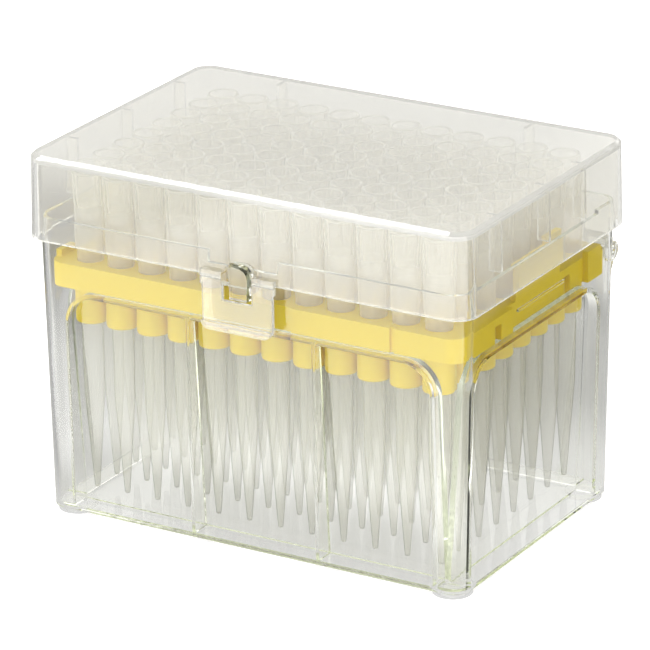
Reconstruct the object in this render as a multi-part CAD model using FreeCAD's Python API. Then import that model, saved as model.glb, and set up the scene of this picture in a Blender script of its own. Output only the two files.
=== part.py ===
"""Box of pipette tips: a clear hinged box, a yellow rack and ninety-six tips.

Units are millimetres.  +Z is up, the long latch side faces -Y, and the origin
is under the middle of the rack at the level of the feet.  Heights build up from
the feet to the tips, from the tips to the rack's deck, and from there to the lid.
"""
import FreeCAD
import Part
import math
import os

Vector = FreeCAD.Vector

# ---- tips -------------------------------------------------------------------
COLUMNS = 12                # tips along X
ROWS = 8                    # tips along Y
PITCH = 9.0                 # spacing of the wells, the standard plate pitch
TIP_SIDES = 6               # flats round a tip and its hole, kept few because tips repeat
TIP_LENGTH = 84.4
TIP_SPACING = 0.8           # between the rims of neighbouring tips
TIP_RIM_WALL = 0.7
TIP_KINK_R = 2.6            # outside, where the hub turns into the thinner cone
TIP_KINK_UP = 26.1          # from the tip's end to that kink
TIP_END_R = 0.65            # outside, at the end
TIP_BORE_UP = 2.5           # from the tip's end to the foot of its bore
TIP_FLOOR_GAP = 3.2         # under the tips' ends
TIP_IN_HOLE_GAP = 0.08      # between a hub and the rim of its hole

# ---- rack -----------------------------------------------------------------------
HUB_RISE = 23.2             # the tips' rims above the deck
DECK_RISE = 6.3             # deck's top above the ledge it rests on
DECK_THICK = 2.0
RACK_GAP = 1.3              # between the rack's rim and the tub's walls
RACK_CORNER_R = 4.0
RACK_BAND = 1.6             # thickness of the rack's rim
WELL_EDGE_GAP = 0.3         # the outermost flats of the wells, inside half a pitch
WELL_DROP = 9.75            # from the ledge down to the wells' ends
ROW_GAP = 1.0               # between the rows of wells
SKIRT_DROP = 3.0            # middle of the long rims, below the ledge
SKIRT_FROM_X = -41.0
SKIRT_TO_X = 39.4
STEP_FROM_X = 6.6           # set-back stretch of the long rims
STEP_TO_X = 12.0
STEP_DEPTH = 0.8
GROOVE_WIDTH = 1.2
END_PANEL_FROM_Y = -12.0    # set-back panel of the short rims
END_PANEL_TO_Y = 27.0
END_PANEL_DEPTH = 1.5
END_SLOT_Y = (-19.5, 18.5)  # middles of the slots in the short rims
END_SLOT_WIDTH = 3.2
CORNER_LUG_RISE = 1.8       # raised corner past the panel, above the deck
TAB_THICK = 1.6             # lifting tab on each short side
TAB_FROM_Y = -8.0
TAB_STEP_Y = 8.0
TAB_TO_Y = 15.0
TAB_LOW_RISE = 9.4
TAB_HIGH_RISE = 11.6

# ---- base tub -----------------------------------------------------------------
FOOT_HEIGHT = 1.5           # underside of the floor above the ground
FOOT_R = 5.0
FOOT_BORE_R = 3.0
FOOT_EDGE = 0.3             # from a foot to the edges of the underside
FLOOR = 1.2
BASE_WALL = 1.1
END_MARGIN = 11.3           # from the outer tips' axes to the tub's ends, at the seam
SIDE_MARGIN = 8.95          # the same to its long sides
BASE_DRAFT_DEG = 1.05
BASE_CORNER_R = 5.5         # at the seam
SEAM_RISE = 6.4             # the lid's lower edge above the deck
RIM_RISE = 5.5              # how far the rim stands up inside the lid
RIM_LEAD_IN = 0.6           # how far the rim leans in, so that the lid swings clear
RIM_STEP = 0.9              # the rim is this much higher at its rear right end
RIM_STEP_Y = 28.0
RIM_GAP_WIDTH = 19.6        # the low stretch of the front rim, behind the latch
RIM_GAP_DEPTH = 3.0
END_RIB_LENGTH = 23.7       # low rib inside each end wall, beside the rack's panel
END_RIB_RISE = 5.4          # above the ledge
END_RIB_SIZE = 0.6

# recessed panels under the ledge that carries the rack
RECESS_R = 8.0              # of the arch's upper corners
LONG_POST = 9.2             # from the tub's ends to the long panels
NEAR_POST = 6.05            # from the tub's sides to the end panels, nearer post
FAR_POST = 9.95             # and further post
SIDE_PANEL_GAP = 0.6        # between the wells and the long panels, at the arch
END_PANEL_GAP = 2.95        # between the wells and the end panels, at the arch
PANEL_LEAN = 3.65           # how much further in the panels stand at the floor
GUSSET_X = (-16.4, 19.3)    # upright ribs on the front panel
GUSSET_THICK = 0.9

# ---- lid ----------------------------------------------------------------------
LID_GAP = 0.35              # between the lid and the tub, at the seam
LID_WALL = 1.5
LID_TOP = 2.4
LID_HEADROOM = 2.8          # over the tips' rims
LID_DRAFT_DEG = 1.2
LID_CORNER_R = 5.75
LID_BEVEL = 0.9             # round the top
LID_RIB_THICK = 1.0
LID_RIB_GAP = 0.6           # from the rim of the tub to the ribs' lower ends
LID_END_RIB_DEPTH = 3.4
LID_BACK_RIB_DEPTH = 4.5
LID_RIB_Y_RIGHT = (-23.5, 0.9, 19.4)
LID_RIB_Y_LEFT = (-23.9, 1.3, 26.4)
LID_RIB_X_BACK = (-36.0, 36.0)

# ---- lid hinge ------------------------------------------------------------------
HINGE_OUT = 2.75            # pin axis behind the tub's back wall
HINGE_DROP = 9.5            # pin axis below the seam
HINGE_INSET = 3.0           # outer lug's outer face, from the tub's end
PIN_R = 1.4
PIN_RUNNING_GAP = 0.1
CLIP_WALL = 1.0
CLIP_MOUTH = 2.3            # snap opening of the clip
CLIP_WIDTH = 7.2
LUG_THICK = 1.3
LUG_SIDE_GAP = 0.3
LUG_TAIL = 6.0              # how far a lug's tail runs down the wall
ARM_THICK = 1.4

# ---- latch ----------------------------------------------------------------------
FLAP_WIDTH = 19.8
FLAP_DROP = 13.4            # from the seam to the flap's lower edge
FLAP_THICK = 1.2
FLAP_CORNER_R = 2.2
FLAP_EAR_OVERHANG = 0.5     # the hinge beads are wider than the flap
FLAP_LIP = 2.1              # height of the finger lip
FLAP_LIP_OUT = 0.8
WINDOW_DROP = 5.6           # from the seam to the window's sill
WINDOW_SIDE_GAP = 0.5       # between the catch and the window's sides
HINGE_FILM_GAP = 0.3        # between the lid's beads and the flap's
BEAD_HEIGHT = 1.7
BEAD_OUT = 1.2
CATCH_WIDTH = 7.4
CATCH_RISE = 3.9            # top of the catch above the seam
CATCH_HEAD_DROP = 1.0       # underside of its head below the seam
CATCH_DOME_R = 2.8          # upper corners of its head
CATCH_OUT = 2.3             # head's front before the lid's face
CATCH_STEM_WIDTH = 5.0
CATCH_GAP = 0.4             # round the catch, in the lid's notch and over the window's sill

# ---- worked out from the sizes above ----------------------------------------------
GRID_X = (COLUMNS - 1) * PITCH / 2
GRID_Y = (ROWS - 1) * PITCH / 2
WELLS_X = GRID_X + PITCH / 2 - WELL_EDGE_GAP
WELLS_Y = GRID_Y + PITCH / 2 - WELL_EDGE_GAP
FLOOR_TOP = FOOT_HEIGHT + FLOOR
TIP_MOUTH_R = (PITCH - TIP_SPACING) / 2
TIP_END_Z = FLOOR_TOP + TIP_FLOOR_GAP
TIP_KINK_Z = TIP_END_Z + TIP_KINK_UP
TIP_TOP_Z = TIP_END_Z + TIP_LENGTH
DECK_Z = TIP_TOP_Z - HUB_RISE
LEDGE_Z = DECK_Z - DECK_RISE
WELL_END_Z = LEDGE_Z - WELL_DROP
RECESS_TOP = LEDGE_Z - BASE_WALL
SEAM_Z = DECK_Z + SEAM_RISE
RIM_Z = SEAM_Z + RIM_RISE
RIM_HIGH_Z = RIM_Z + RIM_STEP
LID_CEILING_Z = TIP_TOP_Z + LID_HEADROOM
LID_TOP_Z = LID_CEILING_Z + LID_TOP
BASE_HALF_X = GRID_X + END_MARGIN
BASE_HALF_Y = GRID_Y + SIDE_MARGIN
LID_HALF_X = BASE_HALF_X + LID_GAP + LID_WALL
LID_HALF_Y = BASE_HALF_Y + LID_GAP + LID_WALL
BASE_SLOPE = math.tan(math.radians(BASE_DRAFT_DEG))
LID_SLOPE = math.tan(math.radians(LID_DRAFT_DEG))
BEND = 1 - math.sqrt(0.5)   # an arc's middle, as a share of its radius from the corner


def base_inset(z):
    """How far the tub's wall has leaned in at height z, measured from the seam."""
    return (SEAM_Z - z) * BASE_SLOPE


HINGE_Z = SEAM_Z - HINGE_DROP
HINGE_Y = BASE_HALF_Y - base_inset(HINGE_Z) + HINGE_OUT
HINGE_END_X = BASE_HALF_X - HINGE_INSET
FLAP_BACK_Y = -LID_HALF_Y
FLAP_FACE_Y = FLAP_BACK_Y - FLAP_THICK
WINDOW_HALF = CATCH_WIDTH / 2 + WINDOW_SIDE_GAP
WINDOW_SILL_Z = SEAM_Z - WINDOW_DROP


# ---- small helpers -----------------------------------------------------------------
def box(x0, x1, y0, y1, z0, z1):
    """A block given by its two limits along each axis."""
    return Part.makeBox(x1 - x0, y1 - y0, z1 - z0, Vector(x0, y0, z0))


def x_cylinder(radius, x0, x1, y, z):
    return Part.makeCylinder(radius, x1 - x0, Vector(x0, y, z), Vector(1, 0, 0))


def polygon_face(points):
    return Part.Face(Part.makePolygon(points + points[:1]))


def in_long_wall(a, z):
    """Where the point a along a long wall, at height z, lies in the plane y = 0."""
    return Vector(a, 0, z)


def in_end_wall(a, z):
    """Where the point a along an end wall, at height z, lies in the plane x = 0."""
    return Vector(0, a, z)


def arch_face(a0, a1, foot, crown, radius, place):
    """A face from a0 to a1 with two round corners at its crown, above or below its foot."""
    up = math.copysign(1, crown - foot)
    spring = crown - up * radius
    bent_in = radius * BEND
    bent_z = crown - up * radius * BEND
    return Part.Face(Part.Wire([
        Part.makeLine(place(a0, foot), place(a0, spring)),
        Part.Arc(place(a0, spring), place(a0 + bent_in, bent_z), place(a0 + radius, crown)).toShape(),
        Part.makeLine(place(a0 + radius, crown), place(a1 - radius, crown)),
        Part.Arc(place(a1 - radius, crown), place(a1 - bent_in, bent_z), place(a1, spring)).toShape(),
        Part.makeLine(place(a1, spring), place(a1, foot)),
        Part.makeLine(place(a1, foot), place(a0, foot)),
    ]))


def rounded_rect(half_x, half_y, radius, z):
    """A closed wire: a rectangle about the origin with round corners."""
    corners = []
    for quarter, (side_x, side_y) in enumerate(((1, 1), (-1, 1), (-1, -1), (1, -1))):
        arc_points = []
        for turn in (0, 0.5, 1):
            angle = (quarter + turn) * math.pi / 2
            arc_points.append(Vector(side_x * (half_x - radius) + radius * math.cos(angle),
                                     side_y * (half_y - radius) + radius * math.sin(angle), z))
        corners.append(arc_points)
    edges = []
    for corner, after in zip(corners, corners[1:] + corners[:1]):
        edges.append(Part.Arc(*corner).toShape())
        edges.append(Part.makeLine(corner[2], after[0]))
    return Part.Wire(edges)


def drafted_block(half_x, half_y, radius, z, lean, lean_z):
    """A block with round corners from level z to lean_z, where every side is further in by lean."""
    wires = [rounded_rect(half_x, half_y, radius, z),
             rounded_rect(half_x - lean, half_y - lean, radius - lean, lean_z)]
    if lean_z < z:
        wires.reverse()
    return Part.makeLoft(wires, True, True)


def ring_points(radius, z):
    """Corners of a regular polygon about the Z axis."""
    half_step = math.pi / TIP_SIDES
    points = []
    for side in range(TIP_SIDES):
        angle = half_step * (2 * side + 1)
        points.append(Vector(radius * math.cos(angle), radius * math.sin(angle), z))
    return points


def faceted_solid(levels):
    """A solid about the Z axis through rings at (corner radius, z), from the lowest up.

    A lowest radius of 0 makes it end in a point.
    """
    rings = [ring_points(radius, z) for radius, z in levels if radius > 0]
    pointed = levels[0][0] == 0
    faces = [polygon_face(rings[-1])]
    if not pointed:
        faces.append(polygon_face(rings[0][::-1]))
    for side in range(TIP_SIDES):
        after = (side + 1) % TIP_SIDES
        for low, high in zip(rings, rings[1:]):
            faces.append(polygon_face([low[side], low[after], high[after], high[side]]))
        if pointed:
            faces.append(polygon_face([rings[0][after], rings[0][side], Vector(0, 0, levels[0][1])]))
    return Part.makeSolid(Part.makeShell(faces))


def mirrored_x(shape):
    return shape.mirror(Vector(0, 0, 0), Vector(1, 0, 0))


def half_turned(shape):
    """The same shape turned half a turn about Z."""
    turned = shape.copy()
    turned.rotate(Vector(0, 0, 0), Vector(0, 0, 1), 180)
    return turned


# ---- tips ---------------------------------------------------------------------------
def tip():
    """One tip about the Z axis: a hub and a thinner cone outside, one long conical bore inside."""
    outside = faceted_solid([
        (TIP_END_R, TIP_END_Z),
        (TIP_KINK_R, TIP_KINK_Z),
        (TIP_MOUTH_R, TIP_TOP_Z),
    ])
    bore = faceted_solid([
        (0, TIP_END_Z + TIP_BORE_UP),
        (TIP_MOUTH_R - TIP_RIM_WALL, TIP_TOP_Z),
    ])
    return outside.cut(bore)


def column_of(shape, column):
    """Copies of a shape at each row of one column, as separate solids."""
    copies = []
    for row in range(ROWS):
        copy = shape.copy()
        copy.translate(Vector(column * PITCH - GRID_X, row * PITCH - GRID_Y, 0))
        copies.append(copy)
    return Part.makeCompound(copies)


# ---- base tub ---------------------------------------------------------------------------
def panel_face(wells_edge, gap, z):
    """Distance from the middle to the outer face of a leaning panel, at height z."""
    part_way = (RECESS_TOP - z) / (RECESS_TOP - FLOOR_TOP)
    return wells_edge + gap + BASE_WALL - PANEL_LEAN * part_way


def recess(from_a, to_a, wells_edge, gap, inset, place, outward):
    """The space in front of one panel: arch-topped, open outwards, widened by a wall's inset."""
    reach = BASE_HALF_X + BASE_HALF_Y
    arch = arch_face(from_a - inset, to_a + inset, FLOOR_TOP, RECESS_TOP + inset, RECESS_R + inset, place)
    levels = (FLOOR_TOP, RECESS_TOP + inset)
    face_low, face_high = [panel_face(wells_edge, gap, z) - inset for z in levels]
    across = place(reach, 0)
    wedge = polygon_face([
        outward * reach + Vector(0, 0, levels[0]) - across,
        outward * face_low + Vector(0, 0, levels[0]) - across,
        outward * face_high + Vector(0, 0, levels[1]) - across,
        outward * reach + Vector(0, 0, levels[1]) - across,
    ]).extrude(across * 2)
    return arch.extrude(outward * reach).common(wedge)


def tub_form(inset):
    """The tub's outer form, or with a wall's inset the form of its hollow."""
    half_x, half_y, radius = BASE_HALF_X - inset, BASE_HALF_Y - inset, BASE_CORNER_R - inset
    low = FLOOR_TOP if inset else FOOT_HEIGHT
    body = drafted_block(half_x, half_y, radius, SEAM_Z, base_inset(low), low)
    lead = RIM_LEAD_IN * (RIM_HIGH_Z - SEAM_Z) / RIM_RISE
    form = body.fuse(drafted_block(half_x, half_y, radius, SEAM_Z, lead, RIM_HIGH_Z))
    long_recess = recess(LONG_POST - BASE_HALF_X, BASE_HALF_X - LONG_POST, WELLS_Y, SIDE_PANEL_GAP,
                         inset, in_long_wall, Vector(0, -1, 0))
    end_recess = recess(NEAR_POST - BASE_HALF_Y, BASE_HALF_Y - FAR_POST, WELLS_X, END_PANEL_GAP,
                        inset, in_end_wall, Vector(1, 0, 0))
    recesses = [long_recess, half_turned(long_recess), end_recess, half_turned(end_recess)]
    return form.cut(Part.makeCompound(recesses))


def gussets():
    """Upright ribs that fill the front panel's recess from the panel to the wall's plane."""
    low, high = FLOOR_TOP - FLOOR / 2, RECESS_TOP + BASE_WALL / 2
    sunk = BASE_WALL / 2
    side = [
        Vector(0, base_inset(low) - BASE_HALF_Y, low),
        Vector(0, base_inset(high) - BASE_HALF_Y, high),
        Vector(0, sunk - panel_face(WELLS_Y, SIDE_PANEL_GAP, high), high),
        Vector(0, sunk - panel_face(WELLS_Y, SIDE_PANEL_GAP, low), low),
    ]
    ribs = []
    for x in GUSSET_X:
        rib = polygon_face(side).extrude(Vector(GUSSET_THICK, 0, 0))
        rib.translate(Vector(x - GUSSET_THICK / 2, 0, 0))
        ribs.append(rib)
    return ribs


def catch():
    """The domed nose on the front wall that the latch's window closes over, on its stem."""
    wall = BASE_WALL / 2 - BASE_HALF_Y
    front = FLAP_BACK_Y - CATCH_OUT
    under = SEAM_Z - CATCH_HEAD_DROP
    half = CATCH_WIDTH / 2
    head = arch_face(-half, half, under, SEAM_Z + CATCH_RISE, CATCH_DOME_R, in_long_wall)
    head.translate(Vector(0, wall, 0))
    head = head.extrude(Vector(0, front - wall, 0))
    stem_half = CATCH_STEM_WIDTH / 2
    stem_front = FLAP_BACK_Y - FLAP_THICK / 2
    stem = box(-stem_half, stem_half, stem_front, wall, WINDOW_SILL_Z + CATCH_GAP, SEAM_Z)
    return [head, stem]


def lug_stations():
    """The X limits of the outer lug, the clip and the inner lug of the right hinge."""
    outer = (HINGE_END_X - LUG_THICK, HINGE_END_X)
    clip = (outer[0] - LUG_SIDE_GAP - CLIP_WIDTH, outer[0] - LUG_SIDE_GAP)
    inner = (clip[0] - LUG_SIDE_GAP - LUG_THICK, clip[0] - LUG_SIDE_GAP)
    return outer, clip, inner


def hinge_lug(x0, x1):
    """A lug on the back wall: a round eye on a foot with a tail down the wall."""
    eye_r = PIN_R + CLIP_WALL
    tail_z = HINGE_Z - eye_r - LUG_TAIL
    in_wall = BASE_HALF_Y - BASE_WALL / 2
    web = polygon_face([
        Vector(x0, in_wall - base_inset(HINGE_Z), HINGE_Z + eye_r),
        Vector(x0, HINGE_Y, HINGE_Z + eye_r),
        Vector(x0, HINGE_Y, HINGE_Z - eye_r),
        Vector(x0, in_wall - base_inset(tail_z), tail_z),
    ]).extrude(Vector(x1 - x0, 0, 0))
    return web.fuse(x_cylinder(eye_r, x0, x1, HINGE_Y, HINGE_Z))


def hinge_lugs():
    """Two lugs and the pin between them, near each end of the back wall."""
    outer, _, inner = lug_stations()
    pin = x_cylinder(PIN_R, inner[1], outer[0], HINGE_Y, HINGE_Z)
    pieces = []
    for piece in (hinge_lug(*outer), hinge_lug(*inner), pin):
        pieces += [piece, mirrored_x(piece)]
    return pieces


def feet():
    """Four ring feet just inside the corners of the underside."""
    from_edge = base_inset(FOOT_HEIGHT) + FOOT_EDGE + FOOT_R
    rings = []
    for side_x in (-1, 1):
        for side_y in (-1, 1):
            at = Vector(side_x * (BASE_HALF_X - from_edge), side_y * (BASE_HALF_Y - from_edge), 0)
            foot = Part.makeCylinder(FOOT_R, FOOT_HEIGHT + FLOOR / 2, at)
            rings.append(foot.cut(Part.makeCylinder(FOOT_BORE_R, FOOT_HEIGHT, at)))
    return rings


def end_ribs():
    """One low rib inside each end wall."""
    low = LEDGE_Z + END_RIB_RISE
    inner_face = BASE_HALF_X - base_inset(low) - BASE_WALL
    half = END_RIB_LENGTH / 2
    rib = box(inner_face - END_RIB_SIZE, inner_face + BASE_WALL / 2, -half, half, low, low + END_RIB_SIZE)
    return [rib, mirrored_x(rib)]


def base_tub():
    tub = tub_form(0).cut(tub_form(BASE_WALL))
    # the rim is low behind the latch, and a step higher at its rear right end
    past_x, past_y, past_z = LID_HALF_X, LID_HALF_Y, LID_TOP_Z
    over_rim = box(-past_x, past_x, -past_y, past_y, RIM_Z, past_z)
    high_end = box(0, past_x, RIM_STEP_Y, past_y, RIM_Z, past_z)
    gap_half = RIM_GAP_WIDTH / 2
    behind_latch = box(-gap_half, gap_half, -past_y, -GRID_Y, RIM_Z - RIM_GAP_DEPTH, past_z)
    tub = tub.cut([over_rim.cut(high_end), behind_latch])
    return tub.fuse(gussets() + catch() + hinge_lugs() + feet() + end_ribs()).removeSplitter()


# ---- lid ---------------------------------------------------------------------------------
def lid_form(inset):
    """The lid's outer form, or with a wall's inset the form of its hollow."""
    top = LID_CEILING_Z if inset else LID_TOP_Z
    return drafted_block(LID_HALF_X - inset, LID_HALF_Y - inset, LID_CORNER_R - inset, SEAM_Z,
                         (top - SEAM_Z) * LID_SLOPE, top)


def lid_ribs():
    """Thin upright plates on the inside of the end walls and the back wall."""
    low = RIM_HIGH_Z + LID_RIB_GAP
    high = LID_CEILING_Z + LID_TOP / 2
    face_x, face_y = LID_HALF_X - LID_WALL, LID_HALF_Y - LID_WALL
    sunk = LID_WALL / 2
    half = LID_RIB_THICK / 2
    ribs = []
    for y in LID_RIB_Y_RIGHT:
        ribs.append(box(face_x - LID_END_RIB_DEPTH, face_x + sunk, y - half, y + half, low, high))
    for y in LID_RIB_Y_LEFT:
        ribs.append(box(-face_x - sunk, -face_x + LID_END_RIB_DEPTH, y - half, y + half, low, high))
    for x in LID_RIB_X_BACK:
        ribs.append(box(x - half, x + half, face_y - LID_BACK_RIB_DEPTH, face_y + sunk, low, high))
    return ribs


def hinge_clip(x0, x1):
    """An arm down from the lid's back wall that ends in a snap clip round the pin."""
    hole_r = PIN_R + PIN_RUNNING_GAP
    clip_r = hole_r + CLIP_WALL
    arm_front = LID_HALF_Y - ARM_THICK
    arm = polygon_face([
        Vector(x0, LID_HALF_Y, SEAM_Z + LID_WALL),
        Vector(x0, arm_front, SEAM_Z + LID_WALL),
        Vector(x0, arm_front, HINGE_Z + hole_r),
        Vector(x0, HINGE_Y, HINGE_Z),
        Vector(x0, HINGE_Y + clip_r, HINGE_Z),
        Vector(x0, HINGE_Y + clip_r, HINGE_Z + clip_r),
        Vector(x0, LID_HALF_Y, HINGE_Z + 2 * clip_r),
    ]).extrude(Vector(x1 - x0, 0, 0))
    mouth_half = CLIP_MOUTH / 2
    mouth = box(x0, x1, HINGE_Y - mouth_half, HINGE_Y + mouth_half, HINGE_Z - 2 * clip_r, HINGE_Z)
    hole = x_cylinder(hole_r, x0, x1, HINGE_Y, HINGE_Z)
    return x_cylinder(clip_r, x0, x1, HINGE_Y, HINGE_Z).fuse(arm).cut(hole.fuse(mouth))


def latch_ears():
    """X limits of the two hinge strips, one on each side of the window."""
    out = FLAP_WIDTH / 2 + FLAP_EAR_OVERHANG
    return (-out, -WINDOW_HALF), (WINDOW_HALF, out)


def lid():
    outer = lid_form(0)
    top_edges = [e for e in outer.Edges if e.BoundBox.ZMin > LID_CEILING_Z]
    shell = outer.makeChamfer(LID_BEVEL, top_edges).cut(lid_form(LID_WALL))
    clip = hinge_clip(*lug_stations()[1])
    added = lid_ribs() + [clip, mirrored_x(clip)]
    for x0, x1 in latch_ears():
        added.append(box(x0, x1, FLAP_BACK_Y - BEAD_OUT, FLAP_BACK_Y + LID_WALL / 2,
                         SEAM_Z, SEAM_Z + BEAD_HEIGHT))
    half = CATCH_WIDTH / 2 + CATCH_GAP
    notch_top = SEAM_Z + CATCH_RISE + CATCH_GAP
    notch = arch_face(-half, half, WINDOW_SILL_Z, notch_top, CATCH_DOME_R + CATCH_GAP, in_long_wall)
    return shell.fuse(added).cut(notch.extrude(Vector(0, -2 * LID_HALF_Y, 0))).removeSplitter()


# ---- latch ---------------------------------------------------------------------------------
def latch_flap():
    """The flap that hangs on the lid's film hinge, with its window and finger lip."""
    half = FLAP_WIDTH / 2
    low = SEAM_Z - FLAP_DROP
    top = SEAM_Z - HINGE_FILM_GAP
    outline = arch_face(-half, half, top, low, FLAP_CORNER_R, in_long_wall)
    outline.translate(Vector(0, FLAP_BACK_Y, 0))
    plate = outline.extrude(Vector(0, -FLAP_THICK, 0))
    lip = outline.extrude(Vector(0, -FLAP_THICK - FLAP_LIP_OUT, 0))
    lip = lip.common(box(-half, half, -2 * LID_HALF_Y, 0, low, low + FLAP_LIP))
    added = [lip]
    for x0, x1 in latch_ears():
        added.append(box(x0, x1, FLAP_FACE_Y, FLAP_BACK_Y, top - BEAD_HEIGHT, top))
    window = box(-WINDOW_HALF, WINDOW_HALF, -2 * LID_HALF_Y, 0, WINDOW_SILL_Z, SEAM_Z)
    return plate.fuse(added).cut(window).removeSplitter()


# ---- rack -------------------------------------------------------------------------------------
def rack_rim(half_x, half_y):
    """The deck on its rim, with the rim's set-back stretches, grooves and slots."""
    under = DECK_Z - DECK_THICK
    outline = Part.Face(rounded_rect(half_x, half_y, RACK_CORNER_R, LEDGE_Z))
    inner_r = RACK_CORNER_R - RACK_BAND
    inner = Part.Face(rounded_rect(half_x - RACK_BAND, half_y - RACK_BAND, inner_r, LEDGE_Z))
    hollow = inner.extrude(Vector(0, 0, DECK_RISE - DECK_THICK))
    rim = outline.extrude(Vector(0, 0, DECK_RISE)).cut(hollow)
    cuts = [
        box(STEP_FROM_X, STEP_TO_X, -half_y, -half_y + STEP_DEPTH, LEDGE_Z, DECK_Z),
        box(SKIRT_TO_X, SKIRT_TO_X + GROOVE_WIDTH, -half_y, -half_y + STEP_DEPTH, LEDGE_Z, DECK_Z),
        box(half_x - END_PANEL_DEPTH, half_x, END_PANEL_FROM_Y, END_PANEL_TO_Y, LEDGE_Z, DECK_Z),
    ]
    for y in END_SLOT_Y:
        half = END_SLOT_WIDTH / 2
        cuts.append(box(half_x - RACK_BAND, half_x, y - half, y + half, LEDGE_Z, under))
    return rim.cut(cuts + [half_turned(piece) for piece in cuts])


def well_block():
    """The wells: bars along the rows, notched where two wells meet at the block's edges."""
    under = DECK_Z - DECK_THICK
    block = box(-WELLS_X, WELLS_X, -WELLS_Y, WELLS_Y, WELL_END_Z, under)
    reach = PITCH / 2 * (1 - math.tan(math.pi / 8))
    square = polygon_face([Vector(reach, 0, WELL_END_Z), Vector(0, reach, WELL_END_Z),
                           Vector(-reach, 0, WELL_END_Z), Vector(0, -reach, WELL_END_Z)])
    square = square.extrude(Vector(0, 0, under - WELL_END_Z))
    spaces = []
    for i in range(COLUMNS + 1):
        for j in range(ROWS + 1):
            if i in (0, COLUMNS) or j in (0, ROWS):
                space = square.copy()
                space.translate(Vector((i - COLUMNS / 2) * PITCH, (j - ROWS / 2) * PITCH, 0))
                spaces.append(space)
    for row in range(1, ROWS):
        y = (row - ROWS / 2) * PITCH
        spaces.append(box(-WELLS_X, WELLS_X, y - ROW_GAP / 2, y + ROW_GAP / 2, WELL_END_Z, under))
    return block.cut(Part.makeCompound(spaces))


def rack_extras(half_x, half_y):
    """Skirts in line with the wells, a raised corner and a stepped lifting tab, at both ends."""
    under = DECK_Z - DECK_THICK
    skirt_low = LEDGE_Z - SKIRT_DROP
    tab_x = half_x - END_PANEL_DEPTH
    corner_y = half_y - RACK_CORNER_R
    lug_top = DECK_Z + CORNER_LUG_RISE
    pieces = [
        box(SKIRT_FROM_X, STEP_FROM_X, -WELLS_Y, -GRID_Y, skirt_low, under),
        box(STEP_TO_X, SKIRT_TO_X, -WELLS_Y, -GRID_Y, skirt_low, under),
        box(half_x - RACK_BAND, half_x, END_PANEL_TO_Y, corner_y, under, lug_top),
        box(tab_x - TAB_THICK, tab_x, TAB_FROM_Y, TAB_TO_Y, under, DECK_Z + TAB_LOW_RISE),
        box(tab_x - TAB_THICK, tab_x, TAB_STEP_Y, TAB_TO_Y, under, DECK_Z + TAB_HIGH_RISE),
    ]
    return pieces + [half_turned(piece) for piece in pieces]


def tip_rack():
    """The rack: a deck on a rim that rests on the tub's ledge, with wells under the deck."""
    half_x = BASE_HALF_X - base_inset(LEDGE_Z) - BASE_WALL - RACK_GAP
    half_y = BASE_HALF_Y - base_inset(LEDGE_Z) - BASE_WALL - RACK_GAP
    rack = rack_rim(half_x, half_y).fuse([well_block()] + rack_extras(half_x, half_y)).removeSplitter()
    # the wells' holes, a close fit round the hubs at the deck
    widening = (TIP_MOUTH_R - TIP_KINK_R) / (TIP_TOP_Z - TIP_KINK_Z)
    hole_r = TIP_KINK_R + widening * (DECK_Z - TIP_KINK_Z) + TIP_IN_HOLE_GAP
    hole = polygon_face(ring_points(hole_r, WELL_END_Z)).extrude(Vector(0, 0, DECK_Z - WELL_END_Z))
    return rack.cut(Part.makeCompound([column_of(hole, column) for column in range(COLUMNS)]))


# ---- write the pieces -----------------------------------------------------------------------------
def save(shape, name):
    shape.exportStep(os.path.join("parts", name + ".step"))
    print(name, len(shape.Solids), "solids", round(shape.Volume, 1), "mm3", shape.isValid())


def main():
    os.makedirs("parts", exist_ok=True)
    save(base_tub(), "base_tub")
    save(lid(), "lid")
    save(latch_flap(), "latch_flap")
    save(tip_rack(), "tip_rack")
    for column in range(COLUMNS):
        save(column_of(tip(), column), "tips_column_%02d" % (column + 1))


main()
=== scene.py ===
# %% [markdown]
# # A box of pipette tips
# A clear box with a hinged lid holds ninety-six frosted tips in a yellow rack. The frame brings in every
# rigid piece at its real size, so this lesson only dresses it: clear plastic for the tub and the lid, satin
# plastic for the rack, and a milky plastic for the tips. Two pieces are made anew, because they are round
# and the frame's own have flats: the rack with its wells, and the tips.

# %% Load the frame
import math

import bmesh
import bpy
from mathutils import Matrix, Vector


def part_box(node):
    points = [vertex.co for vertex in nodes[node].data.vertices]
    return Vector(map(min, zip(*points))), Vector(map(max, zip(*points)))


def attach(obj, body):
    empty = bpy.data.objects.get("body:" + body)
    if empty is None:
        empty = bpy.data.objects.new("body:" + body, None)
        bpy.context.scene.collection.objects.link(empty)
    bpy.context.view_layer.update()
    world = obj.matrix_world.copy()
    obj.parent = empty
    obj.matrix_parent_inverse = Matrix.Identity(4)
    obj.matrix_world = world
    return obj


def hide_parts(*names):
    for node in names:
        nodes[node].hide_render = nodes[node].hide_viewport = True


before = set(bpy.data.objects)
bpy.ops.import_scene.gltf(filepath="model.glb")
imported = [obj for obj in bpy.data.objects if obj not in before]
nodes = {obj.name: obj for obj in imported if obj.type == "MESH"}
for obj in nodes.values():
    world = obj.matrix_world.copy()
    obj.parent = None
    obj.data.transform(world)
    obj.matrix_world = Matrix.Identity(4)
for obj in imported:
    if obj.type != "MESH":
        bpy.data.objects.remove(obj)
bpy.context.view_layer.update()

MM = 0.001

# %% [markdown]
# The camera stands a little above the box and looks at one corner. A long lens keeps the upright edges
# nearly parallel. Its three directions are written out as vectors, because a tilt this small is easier to
# keep exact that way than with angles.

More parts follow.
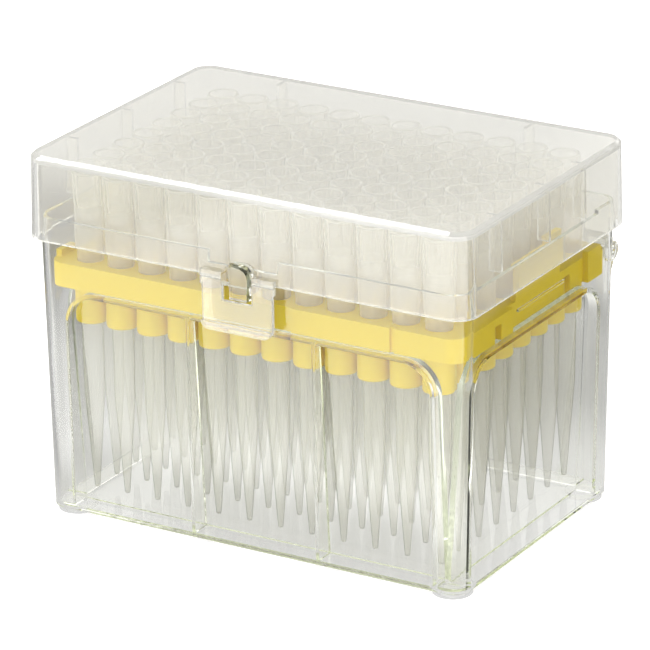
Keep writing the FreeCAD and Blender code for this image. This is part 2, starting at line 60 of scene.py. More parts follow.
# %% Camera
scene = bpy.context.scene
scene.view_settings.view_transform = "Standard"
camera_right = Vector((0.86200, 0.50678, -0.01097))
camera_up = Vector((-0.17240, 0.31345, 0.93382))
camera_back = Vector((0.47669, -0.80307, 0.35756))
camera_place = Vector((559.97, -945.18, 468.44)) * MM
turn = Matrix((camera_right, camera_up, camera_back)).transposed()
lens = bpy.data.cameras.new("long_lens")
lens.sensor_width = 36.0
lens.lens = 260.35
lens.clip_start = 0.05
lens.clip_end = 20.0
camera = bpy.data.objects.new("camera", lens)
camera.matrix_world = Matrix.Translation(camera_place) @ turn.to_4x4()
scene.collection.objects.link(camera)
scene.camera = camera
print("camera:", round(camera_place.length, 3), "m away")

# %% [markdown]
# Light that gets into a clear wall runs along inside it and bounces many times before it leaves. A path that
# is cut short there ends black, and shows as black bands along the ribs and round the catch. So the limits
# are high. Cycles counts a reflection inside the wall as glossy, so that limit matters as much as the one on
# transmission.

# %% Bounces
INSIDE_BOUNCES = 64
SEE_THROUGH_LAYERS = 32
SOFT_BOUNCES = 6
cycles = scene.cycles
cycles.max_bounces = INSIDE_BOUNCES
cycles.transmission_bounces = INSIDE_BOUNCES
cycles.glossy_bounces = INSIDE_BOUNCES
cycles.transparent_max_bounces = SEE_THROUGH_LAYERS
cycles.diffuse_bounces = SOFT_BOUNCES
cycles.volume_bounces = SOFT_BOUNCES
print("bounces: up to", INSIDE_BOUNCES, "inside the plastic")

# %% [markdown]
# Every finish here is a node material. Small helpers keep the cells short: one starts a material with its
# Principled shader, one adds a node and sets its sockets, and three more bring in noise, which varies a
# colour or a gloss a little and gives each surface its fine grain.


# %% Material helpers
def start_finish(name):
    finish = bpy.data.materials.new(name)
    finish.use_nodes = True
    return finish, finish.node_tree, finish.node_tree.nodes["Principled BSDF"]


def add_node(tree, kind, **values):
    node = tree.nodes.new(kind)
    for key, value in values.items():
        if hasattr(node, key):
            setattr(node, key, value)
        else:
            node.inputs[key.replace("_", " ")].default_value = value
    return node


def noise_in_place(tree, scale, detail=3.0):
    """Noise over the object's own coordinates, so that it stays with the piece."""
    place = add_node(tree, "ShaderNodeTexCoord")
    noise = add_node(tree, "ShaderNodeTexNoise", Scale=scale, Detail=detail)
    tree.links.new(place.outputs["Object"], noise.inputs["Vector"])
    return noise


def spread(tree, noise, low, high):
    """The noise's middle range, brought to low and high."""
    node = add_node(tree, "ShaderNodeMapRange", From_Min=0.35, From_Max=0.65, To_Min=low, To_Max=high)
    tree.links.new(noise.outputs["Fac"], node.inputs["Value"])
    return node.outputs["Result"]


def roughen(tree, shader, noise, strength, depth):
    """A fine grain in the surface."""
    bump = add_node(tree, "ShaderNodeBump", Strength=strength, Distance=depth)
    tree.links.new(noise.outputs["Fac"], bump.inputs["Height"])
    tree.links.new(bump.outputs["Normal"], shader.inputs["Normal"])


print("helpers ready")

# %% [markdown]
# The studio is a white floor in a white room. The room lights the box at a plain level. What the camera sees
# of the studio directly, in a reflection or through the plastic, is set apart from that light. Light Path
# tells those rays apart, and Diffuse Depth leaves out the light that has already bounced off the box. The
# other helpers here are arithmetic on numbers between nodes: a soft step, a sum or product, and a choice.


# %% Rays that see the backdrop
def strongest(tree, outputs):
    """1 where any of these Light Path outputs is 1."""
    seen = outputs[0]
    for other in outputs[1:]:
        either = add_node(tree, "ShaderNodeMath", operation="MAXIMUM")
        tree.links.new(seen, either.inputs[0])
        tree.links.new(other, either.inputs[1])
        seen = either.outputs[0]
    return seen


def backdrop_rays(tree, kinds=("Is Camera Ray", "Is Glossy Ray", "Is Transmission Ray")):
    """1 for rays that show the backdrop itself, 0 for rays that only carry light to the box."""
    path = add_node(tree, "ShaderNodeLightPath")
    straight = add_node(tree, "ShaderNodeMath", operation="LESS_THAN")
    straight.inputs[1].default_value = 0.5
    tree.links.new(path.outputs["Diffuse Depth"], straight.inputs[0])
    both = add_node(tree, "ShaderNodeMath", operation="MULTIPLY")
    tree.links.new(strongest(tree, [path.outputs[kind] for kind in kinds]), both.inputs[0])
    tree.links.new(straight.outputs[0], both.inputs[1])
    return both.outputs[0]


def between(tree, source, start, end, low, high):
    """A soft step: low up to start, high from end on. The start may be the larger of the two."""
    step = add_node(tree, "ShaderNodeMapRange", interpolation_type="SMOOTHSTEP")
    for name, value in (("From Min", start), ("From Max", end), ("To Min", low), ("To Max", high)):
        step.inputs[name].default_value = value
    tree.links.new(source, step.inputs["Value"])
    return step.outputs["Result"]


def total(tree, operation, parts):
    """Adds or multiplies several numbers."""
    result = parts[0]
    for part in parts[1:]:
        step = add_node(tree, "ShaderNodeMath", operation=operation)
        tree.links.new(result, step.inputs[0])
        tree.links.new(part, step.inputs[1])
        result = step.outputs[0]
    return result


def choose(tree, factor, first, second):
    """Mixes two numbers: the first where the factor is 0, the second where it is 1."""
    mix = add_node(tree, "ShaderNodeMix", data_type="FLOAT")
    for name, value in (("Factor", factor), ("A", first), ("B", second)):
        if isinstance(value, float):
            mix.inputs[name].default_value = value
        else:
            tree.links.new(value, mix.inputs[name])
    return mix.outputs["Result"]


print("rays told apart by Light Path")

# %% [markdown]
# The room is the world itself. Its light comes softly from the front and above, and turns dimmer and warmer
# towards the back, which shapes the box without any hard shadow. The camera sees plain white. Reflections
# and the plastic see a white that grows a little upwards, so that the lid's flat top has a sheen. Through
# the plastic it is brighter towards the front as well.

# %% Room
FILL_LIGHT = (0.86, 0.79, 0.68, 1.0)
KEY_LIGHT = (1.72, 1.72, 1.72, 1.0)
KEY_DIRECTION = Vector((-0.15, -0.56, 0.81)).normalized()
room = bpy.data.worlds.new("white_room")
room.use_nodes = True
scene.world = room
sky = room.node_tree
direction = add_node(sky, "ShaderNodeTexCoord")
key_side = add_node(sky, "ShaderNodeVectorMath", operation="DOT_PRODUCT")
key_side.inputs[1].default_value = KEY_DIRECTION
sky.links.new(direction.outputs["Generated"], key_side.inputs[0])
levels = add_node(sky, "ShaderNodeMix", data_type="RGBA")
levels.inputs["A"].default_value = FILL_LIGHT
levels.inputs["B"].default_value = KEY_LIGHT
sky.links.new(between(sky, key_side.outputs["Value"], -0.3, 0.8, 0.0, 1.0), levels.inputs["Factor"])
upward = add_node(sky, "ShaderNodeSeparateXYZ")
sky.links.new(direction.outputs["Generated"], upward.inputs["Vector"])
overhead = between(sky, upward.outputs["Z"], 0.0, 0.45, 0.8, 1.3)
ahead = between(sky, upward.outputs["Y"], -0.2, -0.8, 0.0, 1.0)
straight_through = backdrop_rays(sky, ("Is Transmission Ray",))
behind_plastic = total(sky, "ADD", [overhead, total(sky, "MULTIPLY", [ahead, straight_through])])
shown = choose(sky, backdrop_rays(sky, ("Is Camera Ray",)), behind_plastic, 1.0)
final = add_node(sky, "ShaderNodeMix", data_type="RGBA")
sky.links.new(backdrop_rays(sky), final.inputs["Factor"])
sky.links.new(levels.outputs["Result"], final.inputs["A"])
sky.links.new(shown, final.inputs["B"])
sky.links.new(final.outputs["Result"], sky.nodes["Background"].inputs["Color"])
print("room: plain level, white backdrop")

# %% [markdown]
# The floor is a wide disc of matt white paper. It glows a little to the camera, as well lit paper does, so it
# runs into the white room without an edge and still keeps the box's soft shadow.

# %% Floor
FLOOR_RADIUS = 3.0
FLOOR_SIDES = 64
floor_mesh = bpy.data.meshes.new("floor")
turns = [math.tau * i / FLOOR_SIDES for i in range(FLOOR_SIDES)]
ring = [(FLOOR_RADIUS * math.cos(turn), FLOOR_RADIUS * math.sin(turn), 0.0) for turn in turns]
floor_mesh.from_pydata(ring, [], [list(range(FLOOR_SIDES))])
floor = bpy.data.objects.new("floor", floor_mesh)
scene.collection.objects.link(floor)
paper, tree, shader = start_finish("white_paper")
shader.inputs["Base Color"].default_value = (0.88, 0.88, 0.88, 1.0)
shader.inputs["Roughness"].default_value = 0.9
shader.inputs["Specular IOR Level"].default_value = 0.1
shader.inputs["Emission Color"].default_value = (1.0, 1.0, 1.0, 1.0)
seen = backdrop_rays(tree, ("Is Camera Ray",))
tree.links.new(choose(tree, seen, 0.0, 0.5), shader.inputs["Emission Strength"])
roughen(tree, shader, noise_in_place(tree, 900.0), 0.05, 0.0001)
floor_mesh.materials.append(paper)
print("floor:", 2 * FLOOR_RADIUS, "m disc")

# %% [markdown]
# Clear plastic has hardly a look of its own: it shows what it mirrors and what lies behind it. A studio
# lays white and grey paper round such a box. This floor stays white paper to the camera, and instead glows
# by place only for reflections and for rays through the plastic, a painted reflection. In front a bright
# painted glow draws the sheen on the front wall. The painted dark patch to the right is what the right wall
# mirrors in front of the rack, so the yellow stays deep there. Behind the box, where the eye lands through
# it, the glow is a painted light grey, dimmer at the left and white again farther back.

# %% What the plastic sees of the floor
place = add_node(tree, "ShaderNodeTexCoord")
spot = add_node(tree, "ShaderNodeSeparateXYZ")
tree.links.new(place.outputs["Object"], spot.inputs["Vector"])
x, y = spot.outputs["X"], spot.outputs["Y"]
in_front = between(tree, y, -0.05, -0.075, 0.0, 1.0)
near_front = between(tree, y, -0.13, -0.08, 0.85, 2.0)
painted_front_sheen = between(tree, x, -0.175, -0.145, 2.5, 6.3)
painted_dark_patch = total(tree, "MULTIPLY", [
    between(tree, x, 0.108, 0.122, 0.0, 1.0),
    between(tree, x, 0.148, 0.16, 1.0, 0.0),
    between(tree, y, -0.02, 0.08, 0.0, 1.0),
    between(tree, y, 0.19, 0.23, 1.0, 0.0),
])
painted_shade_left = between(tree, x, -0.1, -0.04, -0.3, 0.0)
painted_shade_behind = between(tree, y, 0.05, 0.1, 0.0, -0.25)
brighter_far = between(tree, y, 0.15, 0.2, 0.76, 1.2)
painted_grey_behind = total(tree, "ADD", [brighter_far, painted_shade_left, painted_shade_behind])
# painted reflection and see-through levels: the floor's glow by place, seen only in reflections and through
# the plastic
painted_mirror_glow = choose(tree, in_front, choose(tree, painted_dark_patch, 0.7, 0.05), painted_front_sheen)
through = choose(tree, in_front, choose(tree, painted_dark_patch, painted_grey_behind, 0.2), near_front)
path = add_node(tree, "ShaderNodeLightPath")
glow = add_node(tree, "ShaderNodeEmission")
tree.links.new(choose(tree, path.outputs["Is Transmission Ray"], painted_mirror_glow, through), glow.inputs["Strength"])
either = add_node(tree, "ShaderNodeMixShader")
tree.links.new(backdrop_rays(tree, ("Is Glossy Ray", "Is Transmission Ray")), either.inputs["Fac"])
tree.links.new(shader.outputs["BSDF"], either.inputs[1])
tree.links.new(glow.outputs["Emission"], either.inputs[2])
tree.links.new(either.outputs["Shader"], tree.nodes["Material Output"].inputs["Surface"])
print("floor: bright in front, grey behind, one dark patch")

# %% [markdown]
# A softbox hangs above the front. It lights nothing. Only mirroring and clear surfaces see it, and it draws
# the crisp white line along the lid's rounded front edge.

# %% Softbox
MIRRORED_GLOW = 18.0
SEEN_THROUGH_GLOW = 5.0
softbox_mesh = bpy.data.meshes.new("softbox")
corners = [(-0.7, -0.38, 0.53), (-0.15, -0.38, 0.71), (-0.15, -0.2, 0.74), (-0.7, -0.2, 0.56)]
softbox_mesh.from_pydata(corners, [], [(0, 1, 2, 3)])
softbox = bpy.data.objects.new("softbox", softbox_mesh)
scene.collection.objects.link(softbox)
finish, tree, _ = start_finish("softbox_glow")
path = add_node(tree, "ShaderNodeLightPath")
glow = add_node(tree, "ShaderNodeEmission")
strength = choose(tree, path.outputs["Is Transmission Ray"], MIRRORED_GLOW, SEEN_THROUGH_GLOW)
tree.links.new(strength, glow.inputs["Strength"])
gone = add_node(tree, "ShaderNodeBsdfTransparent")
either = add_node(tree, "ShaderNodeMixShader")
tree.links.new(backdrop_rays(tree), either.inputs["Fac"])
tree.links.new(gone.outputs["BSDF"], either.inputs[1])
tree.links.new(glow.outputs["Emission"], either.inputs[2])
tree.links.new(either.outputs["Shader"], tree.nodes["Material Output"].inputs["Surface"])
softbox_mesh.materials.append(finish)
softbox.visible_camera = False
softbox.visible_diffuse = False
softbox.visible_shadow = False
print("softbox above the front")

# %% [markdown]
# The tub is one glass-clear moulding. It is real refraction: each wall bends the light twice, and that draws
# the thin bright and dark lines along ribs and corners. The index is a little under a real plastic's, so the
# lines stay fine. Volume Absorption adds the faint green-grey that shows only where the eye looks along a
# wall, at the feet and the lower edges.

# %% Clear plastic of the tub
PLASTIC_IOR = 1.42
WALL_TINT = (0.86, 0.88, 0.77, 1.0)


def moulded_plastic(name, colour, clearness, rough_low, rough_high, depth, milk=0.0):
    """A moulding that passes light through. Clearness and milk set how much of it turns to a white veil.

    Only the outside of a wall carries the veil's surface share, so Backfacing takes it off the inside.
    """
    finish, tree, shader = start_finish(name)
    shader.inputs["Base Color"].default_value = (*colour, 1.0)
    shader.inputs["IOR"].default_value = PLASTIC_IOR
    side = add_node(tree, "ShaderNodeNewGeometry")
    share = add_node(tree, "ShaderNodeMapRange")
    share.inputs["To Min"].default_value = clearness
    share.inputs["To Max"].default_value = 1.0
    tree.links.new(side.outputs["Backfacing"], share.inputs["Value"])
    tree.links.new(share.outputs["Result"], shader.inputs["Transmission Weight"])
    haze = noise_in_place(tree, 60.0)
    tree.links.new(spread(tree, haze, rough_low, rough_high), shader.inputs["Roughness"])
    roughen(tree, shader, noise_in_place(tree, 90.0, 1.0), 0.04, 0.0003)
    tint = add_node(tree, "ShaderNodeVolumeAbsorption", Density=depth)
    tint.inputs["Color"].default_value = WALL_TINT
    volume = tint.outputs["Volume"]
    if milk:
        cloud = add_node(tree, "ShaderNodeVolumeScatter", Density=milk)
        cloud.inputs["Anisotropy"].default_value = 0.2
        both = add_node(tree, "ShaderNodeAddShader")
        tree.links.new(volume, both.inputs[0])
        tree.links.new(cloud.outputs["Volume"], both.inputs[1])
        volume = both.outputs[0]
    tree.links.new(volume, tree.nodes["Material Output"].inputs["Volume"])
    print(name, "passes", clearness)
    return finish


clear = moulded_plastic(
    "clear_moulded_plastic", (0.995, 0.995, 0.975),
    clearness=0.995, rough_low=0.015, rough_high=0.03, depth=38.0,
)

# %% [markdown]
# The lid and its latch flap are a softer, milkier plastic, such as natural polypropylene, because the film
# hinge has to bend. Volume Scatter puts a fine cloud inside the wall, so the tips behind it look washed out.

# %% Milky plastic of the lid
milky = moulded_plastic(
    "milky_moulded_plastic", (0.995, 0.99, 0.95),
    clearness=0.855, rough_low=0.03, rough_high=0.05, depth=10.0, milk=115.0,
)

# %% [markdown]
# A moulding has no razor edges. The frame's meshes stay as they are, and modifiers soften them: Weld joins
# the facets, a flat dissolve clears the triangles on plane faces, and Bevel rounds each real edge a little.
# A small node group then shades everything smooth except across edges that are still sharp.


# %% Smooth shading as a modifier
SHARP_ANGLE = math.radians(38)
FLAT_ANGLE = math.radians(0.6)
JOIN_DISTANCE = 0.002 * MM
BEVEL_STEPS = 2


def smooth_by_angle():
    group = bpy.data.node_groups.new("smooth_by_angle", "GeometryNodeTree")
    group.interface.new_socket("Geometry", in_out="INPUT", socket_type="NodeSocketGeometry")
    group.interface.new_socket("Geometry", in_out="OUTPUT", socket_type="NodeSocketGeometry")
    start = group.nodes.new("NodeGroupInput")
    end = group.nodes.new("NodeGroupOutput")
    all_smooth = group.nodes.new("GeometryNodeSetShadeSmooth")
    keep_sharp = group.nodes.new("GeometryNodeSetShadeSmooth")
    keep_sharp.domain = "EDGE"
    keep_sharp.inputs["Shade Smooth"].default_value = False
    angle = group.nodes.new("GeometryNodeInputMeshEdgeAngle")
    wide = group.nodes.new("FunctionNodeCompare")
    wide.operation = "GREATER_THAN"
    wide.inputs["B"].default_value = SHARP_ANGLE
    group.links.new(start.outputs[0], all_smooth.inputs["Geometry"])
    group.links.new(all_smooth.outputs[0], keep_sharp.inputs["Geometry"])
    group.links.new(angle.outputs["Unsigned Angle"], wide.inputs["A"])
    group.links.new(wide.outputs["Result"], keep_sharp.inputs["Selection"])
    group.links.new(keep_sharp.outputs[0], end.inputs[0])
    return group


smooth_group = smooth_by_angle()


def shade_smooth(piece):
    piece.modifiers.new("smooth_shading", "NODES").node_group = smooth_group
    normals = piece.modifiers.new("flat_faces_stay_flat", "WEIGHTED_NORMAL")
    normals.keep_sharp = True


def soften(piece, radius):
    """Rounds a piece's real edges and shades it smooth, all by modifiers."""
    weld = piece.modifiers.new("join_facets", "WELD")
    weld.merge_threshold = JOIN_DISTANCE
    flat = piece.modifiers.new("clear_flats", "DECIMATE")
    flat.decimate_type = "DISSOLVE"
    flat.angle_limit = FLAT_ANGLE
    edge = piece.modifiers.new("rounded_edges", "BEVEL")
    edge.width = radius
    edge.segments = BEVEL_STEPS
    edge.limit_method = "ANGLE"
    edge.angle_limit = SHARP_ANGLE
    edge.use_clamp_overlap = True
    edge.miter_outer = "MITER_ARC"
    shade_smooth(piece)


print("edges softer than", round(math.degrees(SHARP_ANGLE)), "degrees are shaded smooth")

# %% [markdown]
# The three mouldings get their plastic and their rounded edges. All the radii are small, as they are on a
# thin moulding, and the lid has the largest, because hands slide over it.

# %% Dress the mouldings
for name, finish, radius in (
    ("base_tub", clear, 0.22 * MM),
    ("lid", milky, 0.3 * MM),
    ("latch_flap", milky, 0.25 * MM),
):
    piece = nodes[name]
    piece.data.materials.clear()
    piece.data.materials.append(finish)
    soften(piece, radius)
    print(name, "dressed,", len(piece.data.polygons), "faces in the frame")

# %% [markdown]
# The wells and the tips are turned shapes, so each starts from a profile: a list of radius and height, spun
# about an upright line and capped at both ends. They stand in a grid at the standard pitch of such racks.

# %% Spin a profile
PITCH = 9.0 * MM
COLUMNS = 12
ROWS = 8


def place_of(column, row):
    """Where a well and its tip stand, with the grid's middle on the origin."""
    return (column - (COLUMNS - 1) / 2) * PITCH, (row - (ROWS - 1) / 2) * PITCH


def spin(mesh, profile, centre, sides):
    """Adds a turned shape to a bmesh: one ring for each point of the profile, and two end caps."""
    rings = []
    for radius, height in profile:
        rings.append([
            mesh.verts.new((centre[0] + radius * math.cos(math.tau * i / sides),
                            centre[1] + radius * math.sin(math.tau * i / sides), height))
            for i in range(sides)
        ])
    for lower, upper in zip(rings, rings[1:]):
        for i in range(sides):
            j = (i + 1) % sides
            mesh.faces.new((lower[i], lower[j], upper[j], upper[i]))
    mesh.faces.new(list(reversed(rings[0])))
    mesh.faces.new(rings[-1])


def mesh_data(mesh, name):
    """Turns a bmesh into mesh data with its normals outwards, and frees it."""
    bmesh.ops.recalc_face_normals(mesh, faces=mesh.faces)
    data = bpy.data.meshes.new(name)
    mesh.to_mesh(data)
    mesh.free()
    return data


def new_object(name, data):
    piece = bpy.data.objects.new(name, data)
    scene.collection.objects.link(piece)
    return piece


print("grid:", COLUMNS, "x", ROWS, "places")

# %% [markdown]
# The rack is an opaque, satin, lemon yellow plastic. Three noises keep it from looking like paint: a broad
# one in the colour, a finer one in the gloss, and a very fine grain in the surface.

# %% Yellow plastic
yellow, tree, shader = start_finish("yellow_moulded_plastic")
mottle = noise_in_place(tree, 35.0)
ramp = add_node(tree, "ShaderNodeValToRGB")
ramp.color_ramp.elements[0].color = (0.87, 0.67, 0.005, 1.0)
ramp.color_ramp.elements[1].color = (0.90, 0.70, 0.01, 1.0)
tree.links.new(mottle.outputs["Fac"], ramp.inputs["Fac"])
tree.links.new(ramp.outputs["Color"], shader.inputs["Base Color"])
tree.links.new(spread(tree, noise_in_place(tree, 140.0), 0.34, 0.46), shader.inputs["Roughness"])
roughen(tree, shader, noise_in_place(tree, 1500.0, 2.0), 0.06, 0.0001)
shader.inputs["Specular IOR Level"].default_value = 0.2
print("yellow plastic: three noises")

# %% [markdown]
# The rack's rim, deck and tabs are right in the frame, so a copy of that mesh is the start. Only its wells
# are plain bars with flat-sided holes. The copy's facets are joined first: a boolean works best on clean,
# large faces. The rack's levels are worked out from the frame: the deck from the tips' rims, which stand a
# hub's height above it, and the ledge that the rim rests on from the deck.


# %% Rack, from the frame's own deck
def plain_copy(name):
    """A clean copy of a frame mesh: joined facets, no triangles on the flats."""
    source = nodes[name].data
    mesh = bmesh.new()
    mesh.from_mesh(source)
    bmesh.ops.remove_doubles(mesh, verts=mesh.verts, dist=JOIN_DISTANCE)
    bmesh.ops.dissolve_limit(mesh, angle_limit=FLAT_ANGLE, verts=mesh.verts, edges=mesh.edges)
    data = bpy.data.meshes.new(name + "_copy")
    data.from_pydata([v.co[:] for v in mesh.verts], [], [[v.index for v in f.verts] for f in mesh.faces])
    mesh.free()
    return data


def with_boolean(piece, operation, other):
    step = piece.modifiers.new("boolean", "BOOLEAN")
    step.operation = operation
    step.solver = "EXACT"
    step.object = other


def bake_modifiers(piece):
    """Applies a piece's modifiers, so that the helper objects can be removed."""
    graph = bpy.context.evaluated_depsgraph_get()
    data = bpy.data.meshes.new_from_object(piece.evaluated_get(graph))
    piece.modifiers.clear()
    piece.data = data


HUB_RISE = 23.2 * MM
DECK_THICKNESS = 2.0 * MM
RIM_DEPTH = 6.3 * MM
rack_low, rack_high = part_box("tip_rack")
tip_low, tip_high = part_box("tips_column_01")
deck_top = tip_high.z - HUB_RISE
deck_under = deck_top - DECK_THICKNESS
ledge = deck_top - RIM_DEPTH
rack = new_object("yellow_rack", plain_copy("tip_rack"))
print("rack:", round((rack_high.z - rack_low.z) / MM, 2), "mm high")

# %% [markdown]
# The rim's upper edges are rounded before any cut, while they are still easy to pick out: sharp edges
# outside the field of wells.


# %% Round the rim
WELL_ROOM = 4.3 * MM
RIM_RADIUS = 0.25 * MM
wells_x = (COLUMNS - 1) / 2 * PITCH + WELL_ROOM
wells_y = (ROWS - 1) / 2 * PITCH + WELL_ROOM


def on_rim(vert):
    """True outside the field of wells and above the rim's underside."""
    outside = abs(vert.co.x) > wells_x + 0.1 * MM or abs(vert.co.y) > wells_y + 0.1 * MM
    return outside and vert.co.z > ledge + 0.2 * MM


def round_rim(data, radius):
    """Bevels the rim's sharp edges, before any well is cut."""
    mesh = bmesh.new()
    mesh.from_mesh(data)
    rim = [
        edge for edge in mesh.edges
        if edge.is_manifold and edge.calc_face_angle() > SHARP_ANGLE and all(map(on_rim, edge.verts))
    ]
    bmesh.ops.bevel(
        mesh, geom=rim, offset=radius, segments=BEVEL_STEPS, profile=0.5, affect="EDGES", clamp_overlap=True,
    )
    mesh.to_mesh(data)
    mesh.free()
    print("rack: rounded", len(rim), "rim edges")


round_rim(rack.data, RIM_RADIUS)

# %% [markdown]
# A box-shaped cutter takes the plain wells away from under the deck. It bites 0.02 mm into the deck,
# because a boolean is surer when two faces cross than when they lie in one plane.


# %% Cut the plain wells away
def block(low, high):
    mesh = bmesh.new()
    size = Vector(high) - Vector(low)
    middle = (Vector(high) + Vector(low)) / 2
    bmesh.ops.create_cube(mesh, size=1.0, matrix=Matrix.Translation(middle) @ Matrix.Diagonal((*size, 1.0)))
    return mesh_data(mesh, "block")


BITE = 0.02 * MM
below = rack_low.z - 5.0 * MM
cutter = new_object("under_deck", block((-wells_x, -wells_y, below), (wells_x, wells_y, deck_under + BITE)))
with_boolean(rack, "DIFFERENCE", cutter)
bake_modifiers(rack)
bpy.data.objects.remove(cutter)
print("rack: deck has", len(rack.data.polygons), "faces")

# %% [markdown]
# Ninety-six round wells take their place. Each is a full rod first, which also fills the deck's flat-sided
# holes, and its bore is cut last. Open tubes joined to a deck with holes of nearly the same size would
# leave doubled edges. Both profiles list a radius and a height in millimetres. The skirts are the short
# walls that join the wells along both long sides.

# %% Round wells
WELL_SIDES = 32
well_end, deck = rack_low.z / MM, deck_top / MM
well_outside = [(3.6, well_end), (3.98, well_end + 0.13), (4.12, well_end + 0.55), (4.17, deck + 0.05)]
well_bore = [(3.55, well_end - 0.25), (3.3, well_end + 0.45), (3.42, deck + 0.2)]


def in_every_place(name, profile):
    """One turned solid for each of the rack's places, as a single tool for a boolean."""
    mesh = bmesh.new()
    for column in range(COLUMNS):
        for row in range(ROWS):
            spin(mesh, [(r * MM, z * MM) for r, z in profile], place_of(column, row), WELL_SIDES)
    return new_object(name, mesh_data(mesh, name))


SKIRT_LOW = ledge - 3.0 * MM
SKIRT_SPANS = ((-41.0, 6.6), (12.0, 39.4))
SKIRT_OUTSIDE, SKIRT_INSIDE = 35.5 * MM, 34.2 * MM
INTO_DECK = 0.5 * MM
skirts = []
for side in (-1, 1):
    for span in SKIRT_SPANS:
        left, right = sorted(-side * end * MM for end in span)
        front, back = sorted((side * SKIRT_OUTSIDE, side * SKIRT_INSIDE))
        wall = block((left, front, SKIRT_LOW), (right, back, deck_under + INTO_DECK))
        skirts.append(new_object("skirt", wall))
wells = in_every_place("round_wells", well_outside)
bores = in_every_place("round_bores", well_bore)
for other in skirts + [wells]:
    with_boolean(rack, "UNION", other)
with_boolean(rack, "DIFFERENCE", bores)
bake_modifiers(rack)
for other in skirts + [wells, bores]:
    bpy.data.objects.remove(other)
shade_smooth(rack)
rack.data.materials.clear()
rack.data.materials.append(yellow)
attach(rack, "tub")
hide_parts("tip_rack")
print("rack:", len(rack.data.polygons), "faces")

# %% [markdown]
# The tips are natural polypropylene: milky, with a soft sheen. Real frosted plastic scatters light many
# times inside its wall. A partly see-through surface gives the same look for far less work, as long as it
# follows the wall. A tip's wall is thin along the shaft and thick in the hub, so colour ramps up the height
# of the box set its density and its colour. The colour ramp also carries painted light, told below.

# %% Frosted plastic
RAMP_SPAN = 100.0
frosted, tree, shader = start_finish("frosted_plastic")
place = add_node(tree, "ShaderNodeTexCoord")
height = add_node(tree, "ShaderNodeSeparateXYZ")
tree.links.new(place.outputs["Object"], height.inputs["Vector"])
share = add_node(tree, "ShaderNodeMath", operation="DIVIDE")
share.inputs[1].default_value = RAMP_SPAN * MM
tree.links.new(height.outputs["Z"], share.inputs[0])


def by_height(tree, stops):
    """A colour ramp up the box: each stop is a height in millimetres and a colour."""
    ramp = add_node(tree, "ShaderNodeValToRGB")
    points = ramp.color_ramp.elements
    while len(points) < len(stops):
        points.new(1.0)
    for point, (mm, colour) in zip(points, stops):
        point.position = mm / RAMP_SPAN
        point.color = (*colour, 1.0)
    tree.links.new(share.outputs[0], ramp.inputs["Fac"])
    return ramp.outputs["Color"]


def grey(level):
    return (level, level, level)


print("ramps run over", RAMP_SPAN, "mm of height")

# %% [markdown]
# The wall turns denser at the outline, where the eye looks along it: Layer Weight gives that. The lip at the
# very top is nearly solid, so that the rims read as rings through the lid.

# %% Tip walls, thin and thick
wall = by_height(tree, [
    (60.0, grey(0.27)), (64.0, grey(0.5)), (69.0, grey(0.4)), (76.0, grey(0.42)), (78.0, grey(0.38)),
    (84.0, grey(0.18)),
])
facing = add_node(tree, "ShaderNodeLayerWeight", Blend=0.35)
outline = add_node(tree, "ShaderNodeMapRange", interpolation_type="SMOOTHSTEP")
outline.inputs["From Min"].default_value = 0.35
outline.inputs["From Max"].default_value = 0.75
outline.inputs["To Max"].default_value = 0.85
tree.links.new(facing.outputs["Facing"], outline.inputs["Value"])
tree.links.new(wall, outline.inputs["To Min"])
lip = by_height(tree, [(90.0, grey(0.0)), (90.1, grey(0.45))])
density = add_node(tree, "ShaderNodeMath", operation="ADD", use_clamp=True)
tree.links.new(outline.outputs["Result"], density.inputs[0])
tree.links.new(lip, density.inputs[1])
tree.links.new(density.outputs[0], shader.inputs["Alpha"])
print("tip walls set by height and angle")
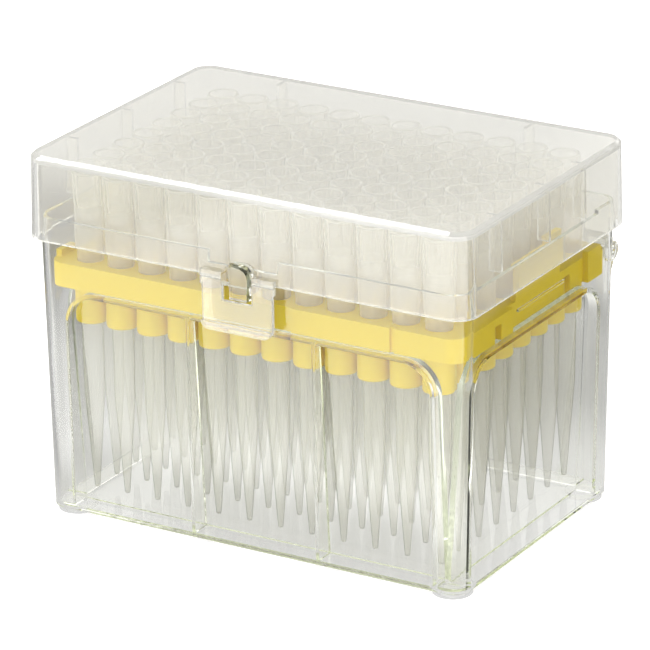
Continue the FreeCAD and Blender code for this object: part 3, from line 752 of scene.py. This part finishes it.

# %% [markdown]
# Where a tip enters the rack, its colour is a painted warm glow that stands in for the yellow light the
# rack throws back. The hub is lighter than the shaft, partly for its thicker wall and partly as painted
# light from above. The top rim is a darker painted shade, so the rims read as rings. The shafts have thin,
# dark painted outlines, a painted shade for the way a clear cone darkens at its edge against a pale ground,
# and the hubs have hardly any.

# %% Tip colours
SHAFT, RACK_BOUNCE_PAINT, HUB_THICK_AND_TOP_LIT, RIM_PAINTED_SHADE = (0.84, 0.84, 0.70), (1.0, 0.90, 0.62), (0.97, 0.955, 0.87), (0.74, 0.73, 0.66)
SHAFT_PAINTED_OUTLINE_SHADE, HUB_PAINTED_OUTLINE_SHADE = (0.30, 0.32, 0.27), (0.78, 0.79, 0.78)
# colour up the tip: shaft, a painted warm glow by the rack, a hub lit lighter partly by painted top light, a
# painted darker rim
body = by_height(tree, [
    (58.0, SHAFT), (64.0, RACK_BOUNCE_PAINT), (70.0, RACK_BOUNCE_PAINT), (76.0, HUB_THICK_AND_TOP_LIT), (90.0, HUB_THICK_AND_TOP_LIT), (90.2, RIM_PAINTED_SHADE),
])
# painted outline shade: darkens the colour where Layer Weight sees the wall edge-on, standing in for a clear
# cone's dark edge
painted_outline_shade = by_height(tree, [(60.0, SHAFT_PAINTED_OUTLINE_SHADE), (66.0, HUB_PAINTED_OUTLINE_SHADE)])
edge_shade = add_node(tree, "ShaderNodeMapRange")
edge_shade.inputs["From Min"].default_value = 0.45
edge_shade.inputs["From Max"].default_value = 0.75
tree.links.new(density.outputs[0], edge_shade.inputs["Value"])
shades = add_node(tree, "ShaderNodeMix", data_type="RGBA", blend_type="MULTIPLY")
tree.links.new(body, shades.inputs["A"])
tree.links.new(painted_outline_shade, shades.inputs["B"])
tree.links.new(edge_shade.outputs["Result"], shades.inputs["Factor"])
tree.links.new(shades.outputs["Result"], shader.inputs["Base Color"])
tree.links.new(spread(tree, noise_in_place(tree, 260.0), 0.32, 0.5), shader.inputs["Roughness"])
roughen(tree, shader, noise_in_place(tree, 2600.0, 2.0), 0.08, 0.00005)
print("frosted plastic: denser at the edges")

# %% [markdown]
# One profile makes all the tips: a shaft in two tapers, the hub with its stepped mouth, and a shallow cup
# inside. Heights are in millimetres above the tip's open end. Eight tips of a column are one piece, as in
# the frame, and each column takes the place of its own.

# %% Tips, one piece for each column
TIP_SIDES = 24
tip_end = tip_low.z
tip_outside = [
    (0.50, 0.0), (0.65, 0.25), (1.10, 6.0), (2.60, 26.1), (2.80, 45.15), (3.28, 61.2), (3.32, 62.2),
    (3.62, 70.0), (4.02, 82.0), (4.1, 84.2), (3.95, 84.4),
]
tip_cup = [(3.5, 84.4), (3.38, 84.2), (3.36, 82.7), (3.16, 82.3), (3.0, 76.0), (2.2, 72.0), (0.6, 71.0)]
tip_profile = [(r * MM, tip_end + h * MM) for r, h in tip_outside + tip_cup]
for column in range(COLUMNS):
    mesh = bmesh.new()
    for row in range(ROWS):
        spin(mesh, tip_profile, place_of(column, row), TIP_SIDES)
    name = "tips_%02d" % (column + 1)
    piece = new_object(name, mesh_data(mesh, name))
    piece.data.materials.append(frosted)
    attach(piece, "tub")
    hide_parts("tips_column_%02d" % (column + 1))
    piece.modifiers.new("smooth_shading", "NODES").node_group = smooth_group
print("tips:", COLUMNS * ROWS, "of", round((tip_high.z - tip_end) / MM, 1), "mm")

# %% [markdown]
# Last, the lesson ends. Dressing a part must not change its size.

# %% Finish
print("done")
